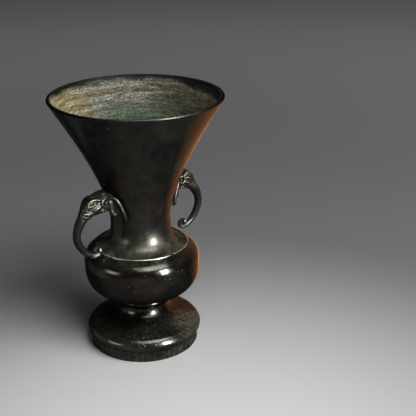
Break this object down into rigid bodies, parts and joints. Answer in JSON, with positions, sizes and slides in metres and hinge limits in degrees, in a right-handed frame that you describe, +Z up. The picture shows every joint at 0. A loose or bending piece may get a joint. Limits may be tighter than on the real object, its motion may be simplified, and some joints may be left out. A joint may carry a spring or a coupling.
{
  "type": "bronze altar vase",
  "caption": "Bronze altar vase with a trumpet mouth, squat belly, spreading foot and elephant-head loop handles, for holding flowers in water.",
  "frame": {"origin": "centre of the ring that the foot stands on, at the level of the surface below it", "axes": "+Z up along the axis of the vase, +X through the right handle, -X through the left handle"},
  "size_m": [0.1616, 0.1616, 0.248],
  "materials": {
    "patina_bronze": "cast bronze with a near-black waxed patina, semi-gloss",
    "handle_bronze": "cast and chased bronze with a near-black patina rubbed on the high points",
    "inner_bronze": "oxidised bronze, dull",
    "braze": "brass spelter, dull"
  },
  "bodies": {
    "root": {"trumpet_neck": "patina_bronze", "belly_bowl": "patina_bronze", "pedestal_foot": "patina_bronze", "left_handle": "handle_bronze", "right_handle": "handle_bronze", "base_plate": "inner_bronze", "left_tenon_rove": "inner_bronze", "right_tenon_rove": "inner_bronze", "neck_braze_seal": "braze", "foot_braze_seal": "braze", "base_braze_seal": "braze"}
  },
  "joints": []
}
